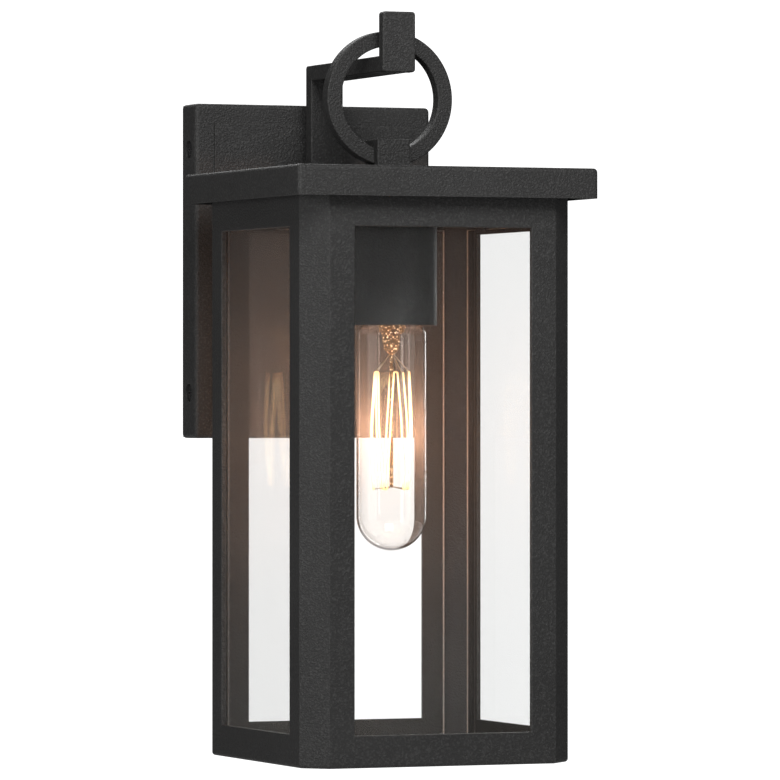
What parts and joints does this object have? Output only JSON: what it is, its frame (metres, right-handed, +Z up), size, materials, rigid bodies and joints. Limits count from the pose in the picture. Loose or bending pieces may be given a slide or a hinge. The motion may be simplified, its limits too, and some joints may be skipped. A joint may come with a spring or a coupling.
{
  "type": "outdoor wall lantern",
  "caption": "Black square wall lantern with chamfered cage, clear glass on all sides, tubular filament bulb, flat lid roof, ring and hooked support arm on a raised rectangular wall canopy.",
  "frame": {"origin": "centre of the mounting bracket's back face, on the wall, midway between its two box-screw slots", "axes": "+Y points into the wall, -Y to the front of the lantern, +X to the right seen from the front, +Z up"},
  "size_m": [0.14, 0.1766, 0.3282],
  "materials": {
    "black_powder_coat": "fine sand-textured matt black powder coat",
    "black_zinc": "black passivated steel, low gloss",
    "zinc_steel": "bright zinc-plated steel",
    "green_zinc": "green passivated steel",
    "foam_rubber": "closed-cell foam",
    "soft_rubber": "matt rubber",
    "window_glass": "clear float glass, polished",
    "bulb_glass": "clear blown glass",
    "stem_glass": "clear pressed lead glass",
    "phenolic": "moulded phenolic, satin",
    "shell_metal": "thin rolled aluminium",
    "contact_brass": "spring brass, satin",
    "base_brass": "rolled brass, satin",
    "black_glass": "black vitrified glass",
    "solder": "dull solder",
    "tungsten_filament": "glowing tungsten, warm white",
    "molybdenum": "drawn wire",
    "black_insulation": "PVC insulation",
    "white_insulation": "PVC insulation",
    "bare_copper": "bare stranded copper",
    "connector_plastic": "moulded plastic"
  },
  "bodies": {
    "lantern": {"arm_screws": "zinc_steel", "canopy_gasket": "foam_rubber", "canopy_side_screws": "black_zinc", "glass_back": "window_glass", "glass_front": "window_glass", "glass_left": "window_glass", "glass_right": "window_glass", "ground_screw": "green_zinc", "ground_wire": "bare_copper", "hook_plate": "black_powder_coat", "hot_wire": "black_insulation", "lamp_socket": "phenolic", "lantern_cage": "black_powder_coat", "loop_screws": "zinc_steel", "lower_glass_clips": "black_powder_coat", "mounting_bracket": "zinc_steel", "neck_block": "black_powder_coat", "neck_front_screws": "zinc_steel", "neck_rear_screws": "zinc_steel", "neutral_wire": "white_insulation", "nipple_nuts": "zinc_steel", "ring": "black_powder_coat", "ring_set_screw": "black_zinc", "roof": "black_powder_coat", "roof_loop": "black_powder_coat", "roof_screws": "zinc_steel", "socket_contact": "contact_brass", "socket_cup": "black_powder_coat", "socket_screw_shell": "shell_metal", "support_arm": "black_powder_coat", "threaded_nipple": "zinc_steel", "top_plate": "black_powder_coat", "upper_glass_clips": "black_powder_coat", "wall_canopy": "black_powder_coat", "wire_connectors": "connector_plastic", "wire_grommet": "soft_rubber"},
    "bulb": {"bulb_envelope": "bulb_glass", "bulb_stem": "stem_glass", "bulb_base_shell": "base_brass", "bulb_base_insulator": "black_glass", "bulb_base_contact": "solder", "filament": "tungsten_filament", "filament_supports": "molybdenum"}
  },
  "joints": [
    {"name": "bulb_unscrew", "type": "slide", "parent": "lantern", "child": "bulb", "axis": [0, 0, -1], "range_m": [0, 0.235]}
  ]
}
